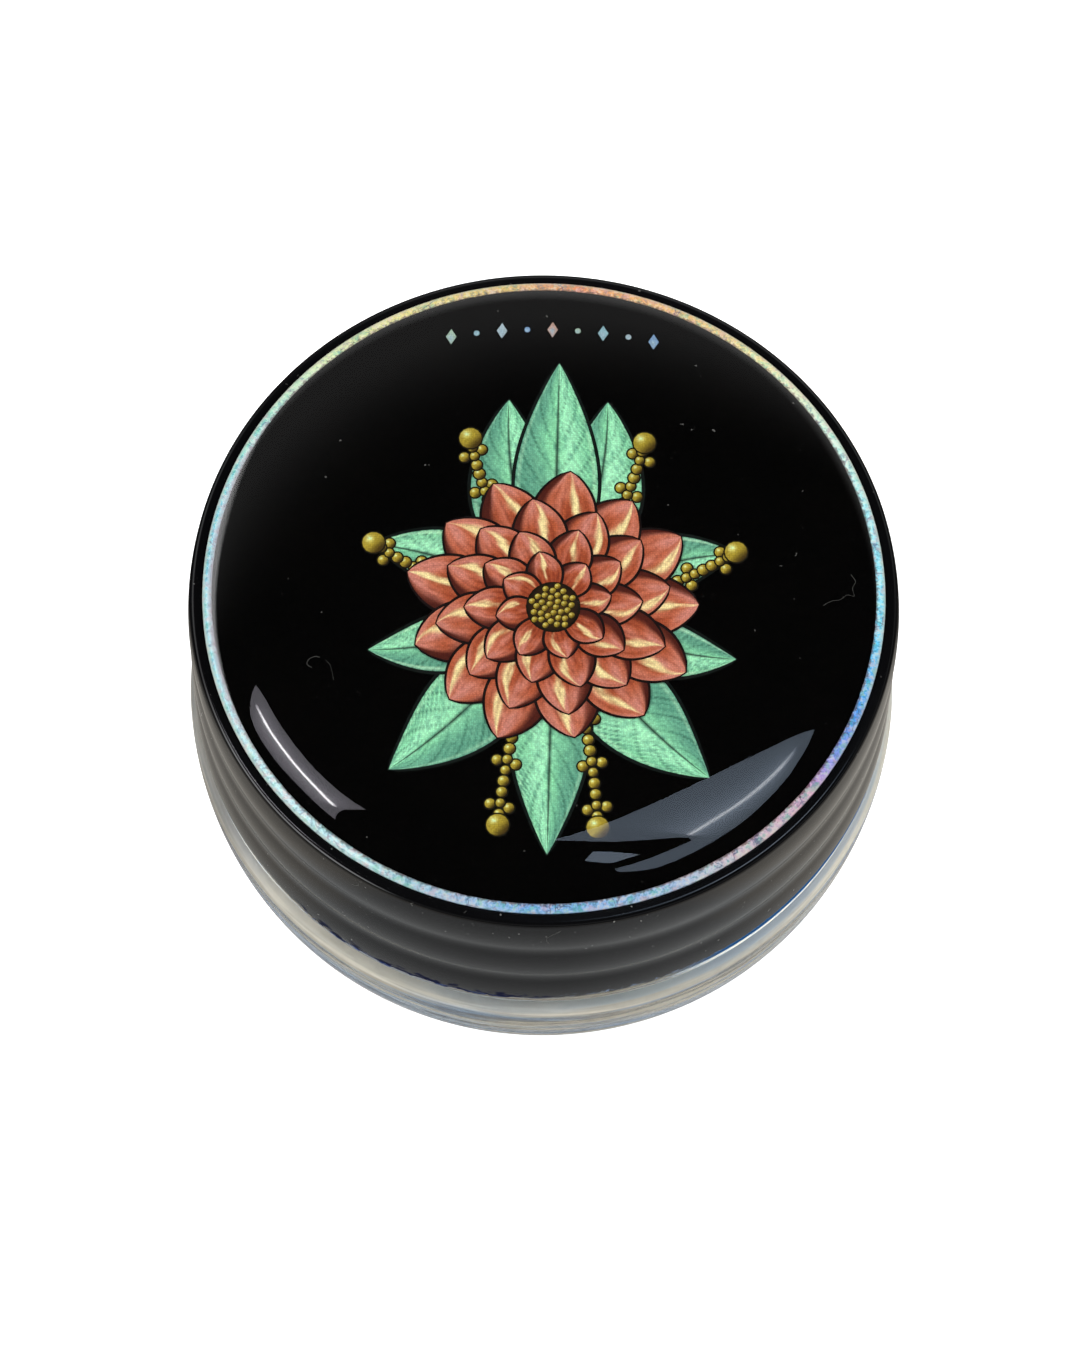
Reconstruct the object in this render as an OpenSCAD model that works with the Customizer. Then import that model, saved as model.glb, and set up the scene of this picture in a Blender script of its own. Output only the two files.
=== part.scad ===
// Two-part glass herb grinder with a domed label on its lid.
// Z is the turning axis, z = 0 is the face of the foot rim, all sizes are in millimetres.

/* [Outside] */
// Radius of the lid over its grip bands
body_r = 30; // [27:0.5:34]
// Height of the clear lower half's outer wall
base_h = 8.7; // [8:0.1:10.5]
// Height of the upper half
lid_h = 19; // [17:0.1:22]
// Depth of the hollow between two grip bands
band_depth = 0.24; // [0.1:0.02:0.4]
// Height of one grip band
band_p = 6.35; // [5.8:0.05:6.4]
// Half-width of the rounding in that hollow
band_soft = 0.9; // [0.5:0.1:1.4]
// Radius of the lid's top edge
top_edge = 0.5; // [0.4:0.1:1.2]
// Clear rim left at the lid's foot, under the black coat
rim_clear = 2.1; // [1.5:0.1:3]
// Thickness of the black coat on the lid
coat_t = 0.12; // [0.08:0.01:0.2]

/* [Glass walls] */
// Thickness of the lower half's floor
floor_t = 5.5; // [4:0.1:6.5]
// Thickness of the upper half's crown
crown_t = 6; // [4.5:0.1:7]
// Wall of the lid's skirt
skirt_t = 3.4; // [2.6:0.1:4]
// Wall of the collar that the skirt runs round
collar_t = 3; // [2.2:0.1:3.4]
// Radial gap between the collar and the skirt
run_gap = 0.4; // [0.25:0.05:0.6]
// How far the collar stands above the outer wall
collar_rise = 8; // [5:0.1:8.5]

/* [Teeth] */
// Side of a tooth at its foot
tooth_w = 5.8; // [4.5:0.1:6]
// Side of the flat on a tooth's tip
tip_w = 0.9; // [0.6:0.1:1.4]
// Height of a tooth
tooth_h = 9.6; // [7:0.1:9.8]
// Ring radii of the teeth, from the centre out: lower, upper, lower, upper
ring_r = [8.6, 12.2, 16.5, 20.3];
// Number of teeth on each of those rings
ring_n = [6, 9, 12, 15];

/* [Slip ring] */
// Thickness of the slip ring between the halves
ring_t = 0.5; // [0.3:0.05:0.6]
// Radial width of the slip ring
ring_w = 2.2; // [1.6:0.1:2.6]

/* [Label] */
// Radius of the label
label_r = 28.7; // [25:0.1:29]
// Width of the unprinted foil border
border_w = 0.85; // [0.5:0.05:2]
// Thickness of the adhesive
glue_t = 0.10; // [0.08:0.01:0.2]
// Thickness of the foil
foil_t = 0.12; // [0.1:0.01:0.25]
// Thickness of the ink
ink_t = 0.08; // [0.06:0.01:0.15]
// Height of the resin dome over the foil at its centre
dome_h = 1.9; // [1:0.1:2.4]

/* [Hidden] */

eps = 0.02;
seam_gap = ring_t + 2 * eps;            // space between the halves, which the slip ring fills
lid_z = base_h + seam_gap;              // underside of the lid's skirt
top_z = lid_z + lid_h;                  // flat top of the lid
skirt_in = body_r - skirt_t;            // inner radius of the skirt
collar_out = skirt_in - run_gap;        // outer radius of the collar
collar_in = collar_out - collar_t;      // radius of the grinding chamber
crown_z = top_z - crown_t;              // ceiling of the grinding chamber
foot_r = body_r - 0.5;                  // outer radius of the foot rim
base_r = body_r + 0.4;                  // widest radius of the lower half
foot_in = 24;                           // inner radius of the foot rim
foot_d = 0.7;                           // depth of the recess inside the foot rim
glue_z = top_z;
foil_z = glue_z + glue_t;
ink_z = foil_z + foil_t;
ink_r = label_r - border_w;
FN = 128;

// Points on an arc, from angle a0 to a1 in n steps.
function arc(cx, cy, r, a0, a1, n) =
    [for (i = [0 : n]) let (a = a0 + (a1 - a0) * i / n) [cx + r * cos(a), cy + r * sin(a)]];

// The lid's outside: three shallow convex bands with rounded hollows between them, the upper
// one cut short by the top edge.
rim_er = 1.0;                           // radius of the lid's bottom edge
band_base = lid_z + 0.15;               // where the lowest band would start
band_z0 = lid_z + rim_er;
band_z1 = top_z - top_edge;
coat_z = lid_z + rim_clear;             // lower edge of the black coat
soft_k = 1 - 2 * band_soft / band_p;
deep = band_depth / soft_k;             // depth that a sharp hollow would have
function bulge(z) = let (v = (z - band_base) / band_p, d = abs(v - round(v)) * band_p)
    d >= band_soft ? body_r - deep * pow(1 - 2 * d / band_p, 2)
    : body_r - deep * soft_k * soft_k
      - 2 * deep * soft_k / band_p * (band_soft * band_soft - d * d) / band_soft;
// Side profile from height za to zb, set in by t.
steps = 12;
function lid_side(t, za, zb) = concat(
    [[bulge(za) - t, za]],
    [for (i = [1 : 4 * steps])
        let (z = band_base + band_p * i / steps)
        if (z > za + 0.1 && z < zb - 0.15) [bulge(z) - t, z]],
    [[bulge(zb) - t, zb]]);
top_r = bulge(band_z1) - top_edge;
rim_r = bulge(band_z0) - rim_er;

// Square frustum standing on z = 0, cut from two crossed prisms.
module tooth() {
    w = tooth_w / 2;
    t = tip_w / 2;
    intersection() {
        rotate([90, 0, 0]) linear_extrude(height = tooth_w, center = true)
            polygon([[-w, 0], [w, 0], [t, tooth_h], [-t, tooth_h]]);
        rotate([90, 0, 90]) linear_extrude(height = tooth_w, center = true)
            polygon([[-w, 0], [w, 0], [t, tooth_h], [-t, tooth_h]]);
    }
}

// One ring of teeth, each with a flat side facing the axis.
module tooth_ring(k, up = true) {
    for (i = [0 : ring_n[k] - 1])
        rotate([0, 0, 360 * i / ring_n[k]])
            translate([ring_r[k], 0, up ? floor_t : crown_z])
                mirror([0, 0, up ? 0 : 1]) tooth();
}

// Clear lower half: thick floor, rounded outer wall and the collar that centres the lid.
module lower_half() {
    er = 0.5;      // bottom edge radius
    sr = 0.7;      // shoulder edge radius
    color([0.86, 0.88, 0.89, 0.45])
    rotate_extrude($fn = FN)
        polygon(concat(
            [[0, foot_d], [foot_in, foot_d], [foot_in + 0.7, 0]],
            arc(foot_r - er, er, er, -90, -10, 6),
            [for (i = [1 : 7])
                let (u = i / 7, z = er + (base_h - sr - er) * u)
                [foot_r + (base_r - foot_r) * sin(90 * pow(u, 0.85)), z]],
            arc(base_r - sr, base_h - sr, sr, 10, 90, 7),
            [[collar_out, base_h]],
            arc(collar_out - 0.7, base_h + collar_rise - 0.7, 0.7, 0, 90, 4),
            arc(collar_in + 0.7, base_h + collar_rise - 0.7, 0.7, 90, 180, 4),
            arc(collar_in - 1.2, floor_t + 1.2, 1.2, 0, -90, 5),
            [[0, floor_t]]));
}

// Upper half: thick crown and the banded skirt, set in under the black coat.
module upper_half() {
    color([0.30, 0.31, 0.32])
    rotate_extrude($fn = FN)
        polygon(concat(
            [[0, crown_z]],
            arc(skirt_in - 1.2, crown_z - 1.2, 1.2, 90, 0, 5),
            [[skirt_in, lid_z + 0.3], [skirt_in + 0.3, lid_z]],
            arc(rim_r, lid_z + rim_er, rim_er, -90, -8, 6),
            lid_side(0, band_z0, coat_z),
            lid_side(coat_t, coat_z, band_z1),
            arc(top_r, top_z - top_edge, top_edge - coat_t, 15, 90, 6),
            [[0, top_z - coat_t]]));
}

// Opaque black coat over the lid's top and side, down to the clear rim.
module black_coat() {
    in = concat(
        lid_side(coat_t, coat_z, band_z1),
        arc(top_r, top_z - top_edge, top_edge - coat_t, 15, 90, 6),
        [[0, top_z - coat_t]]);
    n = len(in);
    color([0.02, 0.02, 0.025])
    rotate_extrude($fn = FN)
        polygon(concat(
            lid_side(0, coat_z, band_z1),
            arc(top_r, top_z - top_edge, top_edge, 15, 90, 6),
            [[0, top_z]],
            [for (i = [n - 1 : -1 : 0]) in[i]]));
}

// Loose low-friction washer that lies on the shoulder, round the collar.
module slip_ring() {
    color([0.10, 0.12, 0.20])
    translate([0, 0, base_h + eps])
        difference() {
            cylinder(h = ring_t, r = collar_out + 0.35 + ring_w, $fn = FN);
            translate([0, 0, -1]) cylinder(h = ring_t + 2, r = collar_out + 0.35, $fn = FN);
        }
}

module label_adhesive() {
    color([0.9, 0.88, 0.8])
    translate([0, 0, glue_z]) cylinder(h = glue_t, r = label_r - 0.1, $fn = FN);
}

// Holographic foil, whose border shows round the ink.
module label_foil() {
    color([0.75, 0.85, 0.9])
    translate([0, 0, foil_z]) cylinder(h = foil_t, r = label_r, $fn = FN);
}

module label_ink() {
    color([0.01, 0.01, 0.01])
    translate([0, 0, ink_z]) cylinder(h = ink_t, r = ink_r, $fn = FN);
}

// Height of the resin over the foil at radius r: a low crown with a full round edge.
function dome_at(r) = dome_h * pow(1 - pow(r / label_r, 5), 0.5);

// Clear cast resin over the whole label.
module label_dome() {
    rs = [for (i = [0 : 10]) label_r * sin(90 * i / 10)];
    color([0.9, 0.9, 0.92, 0.3])
    rotate_extrude($fn = FN)
        polygon(concat(
            [[0, ink_z + ink_t], [ink_r, ink_z + ink_t], [ink_r, ink_z], [label_r, ink_z]],
            [for (i = [9 : -1 : 1]) [rs[i], ink_z + dome_at(rs[i])]],
            [[0, ink_z + dome_h]]));
}

lower_half();
color([0.86, 0.88, 0.89, 0.45]) tooth_ring(0);  // lower_inner_teeth
color([0.86, 0.88, 0.89, 0.45]) tooth_ring(2);  // lower_outer_teeth
slip_ring();
upper_half();
color([0.30, 0.31, 0.32]) tooth_ring(1, false);  // upper_inner_teeth
color([0.30, 0.31, 0.32]) tooth_ring(3, false);  // upper_outer_teeth
black_coat();
label_adhesive();
label_foil();
label_ink();
label_dome();
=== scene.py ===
import math
import random

import bmesh
import bpy
import numpy as np
from mathutils import Matrix, Vector, noise


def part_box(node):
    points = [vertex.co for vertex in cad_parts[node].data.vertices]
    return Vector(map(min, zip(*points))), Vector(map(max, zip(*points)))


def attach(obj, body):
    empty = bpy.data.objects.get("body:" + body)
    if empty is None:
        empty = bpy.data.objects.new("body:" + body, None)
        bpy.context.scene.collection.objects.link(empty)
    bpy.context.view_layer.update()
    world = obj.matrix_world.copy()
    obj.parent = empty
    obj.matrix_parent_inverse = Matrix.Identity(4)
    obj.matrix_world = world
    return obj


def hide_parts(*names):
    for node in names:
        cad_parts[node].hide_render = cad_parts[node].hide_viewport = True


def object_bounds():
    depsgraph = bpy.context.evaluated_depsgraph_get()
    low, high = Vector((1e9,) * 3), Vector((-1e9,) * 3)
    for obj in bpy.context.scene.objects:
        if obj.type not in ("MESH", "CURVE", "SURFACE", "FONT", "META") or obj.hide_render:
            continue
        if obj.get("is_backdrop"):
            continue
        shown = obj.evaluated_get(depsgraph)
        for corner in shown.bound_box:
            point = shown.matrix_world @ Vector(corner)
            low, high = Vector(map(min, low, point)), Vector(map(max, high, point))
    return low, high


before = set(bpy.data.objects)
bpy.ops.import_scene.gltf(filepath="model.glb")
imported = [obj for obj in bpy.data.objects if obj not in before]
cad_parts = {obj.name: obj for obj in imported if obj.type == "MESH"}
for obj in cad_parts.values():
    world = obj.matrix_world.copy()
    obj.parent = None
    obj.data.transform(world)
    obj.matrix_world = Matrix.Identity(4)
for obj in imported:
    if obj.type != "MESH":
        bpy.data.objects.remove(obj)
cad_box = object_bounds()
MM = 0.001
rng = random.Random(7)

# ---------------------------------------------------------------- sizes, in mm, as the CAD has them
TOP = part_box("black_coat")[1].z / MM          # flat top of the lid
LID_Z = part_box("upper_half")[0].z / MM        # underside of the skirt
BODY_R = 30.0
BAND, BAND_P, SOFT, TOP_EDGE, RIM_ER, COAT, RIM_CLEAR = 0.24, 6.35, 0.9, 0.5, 1.0, 0.12, 2.1
BASE_H, FLOOR, COLLAR_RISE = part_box("slip_ring")[0].z / MM - 0.02, 5.5, 8.0
SKIRT_IN = BODY_R - 3.4
COLLAR_OUT = SKIRT_IN - 0.4
COLLAR_IN = COLLAR_OUT - 3.0
CROWN = TOP - 6.0
LABEL_R, BORDER = 28.7, 0.85
INK_R = LABEL_R - BORDER
FOIL_Z = TOP + 0.10
INK_Z = FOIL_Z + 0.12
DOME_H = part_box("label_dome")[1].z / MM - INK_Z
SEG = 512


# ---------------------------------------------------------------- mesh helpers
def arc(cx, cy, r, a0, a1, n):
    return [(cx + r * math.cos(math.radians(a0 + (a1 - a0) * i / n)),
             cy + r * math.sin(math.radians(a0 + (a1 - a0) * i / n))) for i in range(n + 1)]


def obj_from(name, verts, faces, mats=(), smooth=35.0):
    me = bpy.data.meshes.new(name)
    me.from_pydata([(x * MM, y * MM, z * MM) for x, y, z in verts], [], faces)
    me.validate()
    me.update()
    for m in mats:
        me.materials.append(m)
    o = bpy.data.objects.new(name, me)
    bpy.context.scene.collection.objects.link(o)
    if smooth:
        me.shade_smooth()
        me.set_sharp_from_angle(angle=math.radians(smooth))
    return o


def lathe(profile, seg=SEG, wobble=None):
    """Vertices and faces of a profile [(r, z)...] turned about Z. A point at r = 0 becomes a pole."""
    verts, rows = [], []
    for k, (r, z) in enumerate(profile):
        if r < 1e-6:
            rows.append([len(verts)])
            verts.append((0.0, 0.0, z))
            continue
        row = []
        for i in range(seg):
            a = 2 * math.pi * i / seg
            rr, zz = (r, z) if wobble is None else wobble(k, a, r, z)
            row.append(len(verts))
            verts.append((rr * math.cos(a), rr * math.sin(a), zz))
        rows.append(row)
    faces = []
    for a, b in zip(rows[:-1], rows[1:]):
        if len(a) == 1 and len(b) == 1:
            continue
        for i in range(seg):
            j = (i + 1) % seg
            if len(a) == 1:
                faces.append((a[0], b[j], b[i]))
            elif len(b) == 1:
                faces.append((a[i], a[j], b[0]))
            else:
                faces.append((a[i], a[j], b[j], b[i]))
    return verts, faces


def flip(faces):
    return [tuple(reversed(f)) for f in faces]


def fused(name, verts, faces, cutters, mats, smooth=30.0):
    """One closed mesh: the body and its teeth joined, so that light meets no wall between them."""
    body = obj_from(name + "_body", verts, faces, smooth=0)
    tool = obj_from(name + "_tool", *cutters, smooth=0)
    mod = body.modifiers.new("join", "BOOLEAN")
    mod.operation, mod.object, mod.solver = "UNION", tool, "EXACT"
    mod.use_self = False
    dg = bpy.context.evaluated_depsgraph_get()
    me = bpy.data.meshes.new_from_object(body.evaluated_get(dg))
    me.name = name
    bpy.data.objects.remove(body, do_unlink=True)
    bpy.data.objects.remove(tool, do_unlink=True)
    me.materials.clear()
    for m in mats:
        me.materials.append(m)
    me.shade_smooth()
    me.set_sharp_from_angle(angle=math.radians(smooth))
    o = bpy.data.objects.new(name, me)
    bpy.context.scene.collection.objects.link(o)
    return o


# ---------------------------------------------------------------- node helpers
def srgb(*c):
    out = [(v / 12.92 if v <= 0.04045 else ((v + 0.055) / 1.055) ** 2.4) for v in c[:3]]
    return (out[0], out[1], out[2], 1.0)


class Tree:
    def __init__(self, name):
        self.mat = bpy.data.materials.new(name)
        self.mat.use_nodes = True
        self.nt = self.mat.node_tree
        self.nt.nodes.clear()
        self.out = self.nt.nodes.new("ShaderNodeOutputMaterial")
        self.coord = self.nt.nodes.new("ShaderNodeTexCoord").outputs["Object"]

    def n(self, kind, **sockets):
        node = self.nt.nodes.new(kind)
        for k, v in sockets.items():
            self.put(node, k.replace("_", " "), v)
        return node

    def put(self, node, key, v):
        s = node.inputs[int(key)] if key.isdigit() else node.inputs[key]
        if isinstance(v, bpy.types.NodeSocket):
            self.nt.links.new(v, s)
        else:
            s.default_value = v

    def math(self, op, a, b=0.0, c=None, clamp=False):
        node = self.nt.nodes.new("ShaderNodeMath")
        node.operation = op
        node.use_clamp = clamp
        for i, v in enumerate((a, b) if c is None else (a, b, c)):
            self.put(node, str(i), v)
        return node.outputs[0]

    def noise(self, scale, detail=3.0, rough=0.55, vec=None, dist=0.0):
        node = self.n("ShaderNodeTexNoise", Scale=scale, Detail=detail, Roughness=rough, Distortion=dist)
        self.nt.links.new(vec or self.coord, node.inputs["Vector"])
        return node.outputs["Fac"]

    def ramp(self, fac, stops, interp="LINEAR"):
        node = self.nt.nodes.new("ShaderNodeValToRGB")
        node.color_ramp.interpolation = interp
        el = node.color_ramp.elements
        while len(el) > 1:
            el.remove(el[-1])
        el[0].position, el[0].color = stops[0]
        for p, c in stops[1:]:
            e = el.new(p)
            e.color = c
        self.nt.links.new(fac, node.inputs["Fac"])
        return node.outputs["Color"]

    def span(self, fac, lo, hi, a=0.0, b=1.0):
        node = self.n("ShaderNodeMapRange")
        node.clamp = True
        self.put(node, "0", fac)
        for i, v in enumerate((lo, hi, a, b)):
            self.put(node, str(i + 1), v)
        return node.outputs[0]

    def mix(self, fac, a, b, mode="MIX"):
        node = self.nt.nodes.new("ShaderNodeMix")
        node.data_type, node.blend_type = "RGBA", mode
        self.put(node, "0", fac)
        self.put(node, "6", a)
        self.put(node, "7", b)
        return node.outputs[2]

    def bump(self, height, strength, dist):
        node = self.n("ShaderNodeBump", Strength=strength, Distance=dist)
        self.nt.links.new(height, node.inputs["Height"])
        return node.outputs["Normal"]

    def sep(self):
        node = self.nt.nodes.new("ShaderNodeSeparateXYZ")
        self.nt.links.new(self.coord, node.inputs[0])
        return node.outputs

    def scaled(self, x, y, z):
        node = self.nt.nodes.new("ShaderNodeMapping")
        node.inputs["Scale"].default_value = (x, y, z)
        self.nt.links.new(self.coord, node.inputs["Vector"])
        return node.outputs[0]

    def shader_mix(self, fac, a, b):
        node = self.nt.nodes.new("ShaderNodeMixShader")
        self.put(node, "0", fac)
        self.nt.links.new(a, node.inputs[1])
        self.nt.links.new(b, node.inputs[2])
        return node.outputs[0]

    def finish(self, shader):
        self.nt.links.new(shader, self.out.inputs["Surface"])
        return self.mat


def polar(t):
    """Azimuth as 0 to 1 from -X round by -Y, and radius in metres."""
    x, y, z = t.sep()
    ang = t.math("ARCTAN2", y, x)
    return (t.math("MULTIPLY_ADD", ang, 1 / (2 * math.pi), 0.5),
            t.math("SQRT", t.math("ADD", t.math("MULTIPLY", x, x), t.math("MULTIPLY", y, y))), z)


def window(t, v, lo, hi, soft):
    """1 between lo and hi, with soft ends."""
    return t.math("MULTIPLY", t.span(v, lo - soft, lo + soft, 0.0, 1.0), t.span(v, hi - soft, hi + soft, 1.0, 0.0))


def sector(t, az, a0, a1, soft=4.0):
    """1 between two azimuths in degrees. The range may run past -180."""
    w = window(t, az, (a0 + 180) / 360, (a1 + 180) / 360, soft / 360)
    if a0 - soft < -180:
        w = t.math("MAXIMUM", w, window(t, az, (a0 + 540) / 360, (a1 + 540) / 360, soft / 360))
    return w


# ---------------------------------------------------------------- materials
COAT_EDGE = LID_Z + RIM_CLEAR


def coat_material():
    """Glossy black coat: faint orange peel, a few specks of dust, hairline rubs, pale glints painted where the edge is
    chipped, and a shine painted blue over the navy edge and darker on the left.
    """
    t = Tree("black_coat_gloss")
    az, r, z = polar(t)
    peel = t.noise(420.0, 2.0)
    broad = t.noise(60.0, 3.0)
    specks = t.span(t.noise(2600.0, 1.0, 0.4), 0.755, 0.80)
    lint = t.span(t.noise(700.0, 5.0, 0.75, vec=t.scaled(1, 1, 3.5), dist=1.2), 0.735, 0.775)
    dust = t.math("MULTIPLY", t.math("ADD", specks, lint, clamp=True), t.span(broad, 0.45, 0.62))
    base = t.mix(t.span(broad, 0.3, 0.7), srgb(0.020, 0.020, 0.026), srgb(0.035, 0.035, 0.040))
    navy = t.math("MULTIPLY", sector(t, az, -140, -80, 8.0), t.span(z, (LID_Z + RIM_CLEAR + 0.10) * MM, (LID_Z + RIM_CLEAR - 0.35) * MM))
    base = t.mix(t.math("MULTIPLY", navy, 0.85), base, srgb(0.03, 0.09, 0.27))
    patch = t.noise(820.0, 2.0, 0.6, vec=t.scaled(1, 1, 1.7))
    edge = t.math("MULTIPLY", sector(t, az, -133, -88, 3.0),
                  t.span(z, (LID_Z + RIM_CLEAR + 1.15) * MM, (LID_Z + RIM_CLEAR + 0.35) * MM))
    fleck = t.math("MULTIPLY", t.span(edge, 0.0, 0.5), t.span(t.math("ADD", patch, t.math("MULTIPLY", edge, 0.06)), 0.575, 0.605))
    # Chips at the right-front edge: flakes missing from the coat, painted as pale glints of the glass beneath (a
    # painted highlight).
    chips_and_glints = t.math("MULTIPLY", t.math("MULTIPLY", sector(t, az, -84, -30, 4.0),
                                      t.span(z, (LID_Z + RIM_CLEAR + 1.00) * MM, (LID_Z + RIM_CLEAR + 0.70) * MM)),
                   t.span(t.noise(1500.0, 3.0, 0.7), 0.56, 0.60))
    base = t.mix(t.math("MULTIPLY", chips_and_glints, 0.7), base, srgb(0.50, 0.58, 0.70))
    base = t.mix(t.math("MULTIPLY", dust, 0.55), base, srgb(0.62, 0.62, 0.60))
    base = t.mix(fleck, base, srgb(0.02, 0.04, 0.16))
    rough = t.math("ADD", t.span(broad, 0.3, 0.7, 0.075, 0.115), t.math("MULTIPLY", dust, 0.4))
    nor = t.bump(peel, 0.05, 0.00003)
    dif = t.n("ShaderNodeBsdfDiffuse", Color=base, Normal=nor)
    # The shine's tint is painted: blue over the navy edge band, and darker on the left and back near the top, a painted
    # shade in the reflection.
    tint = t.mix(navy, srgb(0.965, 0.975, 0.975), srgb(0.45, 0.55, 0.80))
    left_painted_dimming = t.math("MAXIMUM", t.span(az, 0.045, 0.085, 1.0, 0.0), t.span(az, 0.80, 0.86, 0.0, 1.0))
    left_painted_dimming = t.math("MULTIPLY", left_painted_dimming, t.span(z, (TOP - 1.2) * MM, (TOP - 0.7) * MM, 0.0, 0.75))
    tint = t.mix(left_painted_dimming, tint, srgb(0.05, 0.06, 0.10))
    glo = t.n("ShaderNodeBsdfAnisotropic", Color=tint, Roughness=rough, Normal=nor)
    fr = t.n("ShaderNodeFresnel", IOR=1.5, Normal=nor)
    shine = t.math("MULTIPLY", fr.outputs[0], t.math("SUBTRACT", 1.0, t.math("MULTIPLY", fleck, 0.85)))
    return t.finish(t.shader_mix(shine, dif.outputs[0], glo.outputs[0]))


def glass_material(name, tint, ior=1.5):
    """Pressed clear glass: pressing waves, a little haze and bloom, painted colour fringes of refracted light, and
    highlights, blue lines and shade painted on at fixed azimuths.
    """
    t = Tree(name)
    wave = t.noise(38.0, 3.0, 0.55, vec=t.scaled(1, 1, 17))
    fine = t.noise(900.0, 3.0)
    rough = t.span(fine, 0.35, 0.7, 0.02, 0.06)
    # Cream and pale blue streaks in the glass colour: painted colour fringes of refracted light.
    col = t.mix(t.span(wave, 0.38, 0.62), srgb(0.83, 0.90, 0.965), srgb(0.975, 0.945, 0.895))
    col = t.mix(0.35, col, tint)
    nor = t.bump(wave, 0.35, 0.0004)
    p = t.n("ShaderNodeBsdfPrincipled", Base_Color=col, Roughness=rough, Normal=nor)
    p.inputs["Transmission Weight"].default_value = 1.0
    p.inputs["IOR"].default_value = ior
    az, r, z = polar(t)
    skin = t.math("MULTIPLY", t.span(r, 0.0282, 0.0290, 0.0, 1.0), t.span(z, 0.0004, 0.0012, 0.0, 1.0))
    level = t.noise(50.0, 3.0, 0.6, vec=t.scaled(1, 1, 26))
    streak = t.span(level, 0.45, 0.56)
    # A band over the seam's rounded edges is painted milkier and creamier: a painted highlight.
    seam_highlight_band = window(t, z, (BASE_H - 0.9) * MM, (LID_Z + 0.75) * MM, 0.0003)
    milk = t.math("ADD", t.span(fine, 0.3, 0.8, 0.10, 0.17), t.math("MULTIPLY", streak, 0.20))
    milk = t.math("MULTIPLY", t.math("ADD", milk, t.math("MULTIPLY", seam_highlight_band, 0.30)), skin, clamp=True)
    milk = t.math("ADD", milk, 0.05)
    # Haze tone in cream and pale blue streaks: painted colour fringes of refracted light.
    tone = t.mix(t.span(t.noise(60.0, 2.0, 0.5, vec=t.scaled(1, 1, 20)), 0.40, 0.58), srgb(0.68, 0.77, 0.86), srgb(0.90, 0.87, 0.79))
    tone = t.mix(t.math("MULTIPLY", seam_highlight_band, 0.7), tone, srgb(0.90, 0.88, 0.82))
    haze = t.n("ShaderNodeBsdfDiffuse", Color=tone, Normal=nor)
    body = t.shader_mix(milk, p.outputs[0], haze.outputs[0])
    # painted highlight lines and blue lines just under the coat's edge, set at fixed azimuths: light and fringes
    # refracted through the glass, painted into its colour; the white line also glows a little
    wob = t.span(t.noise(90.0, 2.0), 0.3, 0.7, -0.00016, 0.00016)
    zw = t.math("ADD", z, wob)
    outer = t.span(r, 0.0286, 0.0290, 0.0, 1.0)
    painted_light_sectors = t.math("MAXIMUM", sector(t, az, -62, -12, 6.0), t.math("MULTIPLY", sector(t, az, -162, -136, 6.0), 0.8))
    painted_light_sectors = t.math("MULTIPLY", painted_light_sectors, outer)
    e = COAT_EDGE * MM
    white = t.math("MULTIPLY", painted_light_sectors, window(t, zw, e - 0.00125, e - 0.00022, 0.00008))
    blue = t.math("MULTIPLY", painted_light_sectors, t.math("MAXIMUM", window(t, zw, e - 0.00018, e + 0.00120, 0.00006),
                                           window(t, zw, e - 0.00200, e - 0.00138, 0.00008)))
    # A painted pale blue-grey highlight along the base's top edge at the right front.
    painted_pale_line = t.math("MULTIPLY", t.math("MULTIPLY", sector(t, az, -84, -10, 6.0), outer), window(t, z, (BASE_H - 0.12) * MM, (BASE_H + 0.06) * MM, 0.00004))
    sky = t.n("ShaderNodeBsdfDiffuse", Color=srgb(0.60, 0.68, 0.74), Normal=nor)
    body = t.shader_mix(t.math("MULTIPLY", painted_pale_line, 0.5), body, sky.outputs[0])
    # A painted blue line low on the left side, one more of the painted refraction lines.
    deep = t.math("MULTIPLY", t.math("MULTIPLY", sector(t, az, -190, -132, 14.0), outer), window(t, zw, 0.0040, 0.0052, 0.0004))
    blue = t.math("MAXIMUM", blue, t.math("MULTIPLY", deep, 0.30))
    # Painted shadow of the coat's edge: a dim tan band just under it at the front.
    painted_edge_shadow = t.math("MULTIPLY", t.math("MULTIPLY", sector(t, az, -138, -70, 8.0), outer), window(t, zw, e - 0.0013, e + 0.0002, 0.0002))
    shade = t.n("ShaderNodeBsdfDiffuse", Color=srgb(0.40, 0.37, 0.30), Normal=nor)
    body = t.shader_mix(t.math("MULTIPLY", painted_edge_shadow, 0.5), body, shade.outputs[0])
    # Painted shade over the base's left side, darkening it towards grey-tan.
    left_shade_mask = t.math("MULTIPLY", t.math("MULTIPLY", sector(t, az, -200, -146, 9.0), outer), t.span(z, e, e - 0.0004, 0.0, 1.0))
    left_painted_shade = t.n("ShaderNodeBsdfDiffuse", Color=t.mix(streak, srgb(0.36, 0.34, 0.31), srgb(0.50, 0.47, 0.43)), Normal=nor)
    body = t.shader_mix(t.math("MULTIPLY", left_shade_mask, 0.55), body, left_painted_shade.outputs[0])
    # The white line is a painted highlight: pale diffuse with a faint glow of its own.
    lit = t.n("ShaderNodeBsdfDiffuse", Color=t.mix(t.span(t.noise(1300.0, 2.0), 0.40, 0.62), srgb(0.80, 0.84, 0.86), srgb(0.96, 0.94, 0.87)), Normal=nor)
    glow = t.n("ShaderNodeEmission", Color=srgb(1.0, 0.985, 0.95), Strength=t.math("MULTIPLY", white, 0.12))
    both = t.n("ShaderNodeAddShader")
    t.nt.links.new(lit.outputs[0], both.inputs[0])
    t.nt.links.new(glow.outputs[0], both.inputs[1])
    body = t.shader_mix(t.math("MULTIPLY", white, 0.85), body, both.outputs[0])
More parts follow.
